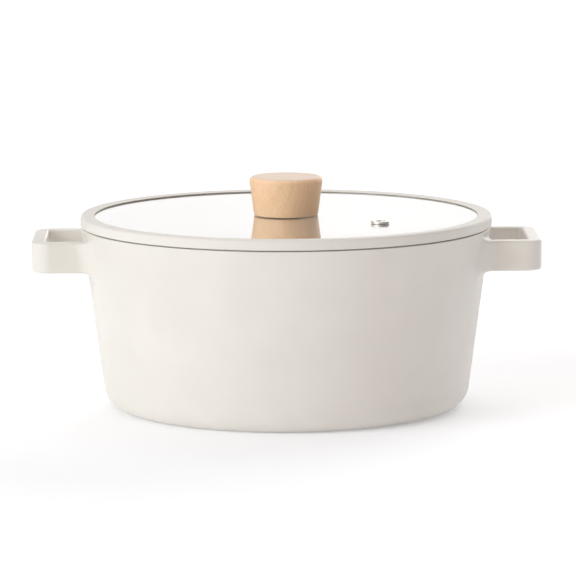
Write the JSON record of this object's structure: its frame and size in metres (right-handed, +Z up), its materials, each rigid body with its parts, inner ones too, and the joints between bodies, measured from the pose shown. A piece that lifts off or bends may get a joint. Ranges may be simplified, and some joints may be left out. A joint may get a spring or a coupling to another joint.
{
  "type": "casserole pot with glass lid",
  "caption": "Round cooking pot of coated cast aluminium with loop side handles and a flat glass lid that has a silicone rim, a wooden knob and a steam vent.",
  "frame": {"origin": "middle of the base, on the surface that the pot stands on", "axes": "+Z up through the knob, +X through the loop handles, -Y towards the front; the steam vent is at the front right"},
  "size_m": [0.3078, 0.25, 0.1403],
  "materials": {
    "cream_coat": "satin",
    "base_steel": "satin",
    "lid_glass": "gloss",
    "cream_silicone": "matte",
    "knob_wood": "satin",
    "insert_brass": "satin",
    "washer_silicone": "matte",
    "fitting_steel": "satin"
  },
  "bodies": {
    "pot": {"pot_body": "cream_coat", "handle_right": "cream_coat", "handle_left": "cream_coat", "induction_plate": "base_steel"},
    "lid": {"lid_glass": "lid_glass", "lid_rim": "cream_silicone", "knob": "knob_wood", "knob_insert": "insert_brass", "knob_seal": "washer_silicone", "under_seal": "washer_silicone", "screw_washer": "fitting_steel", "knob_screw": "fitting_steel", "vent_grommet": "washer_silicone", "vent_eyelet": "fitting_steel"}
  },
  "joints": [
    {"name": "lid_lift", "type": "slide", "parent": "pot", "child": "lid", "axis": [0, 0, 1], "range_m": [0, 0.15]}
  ]
}
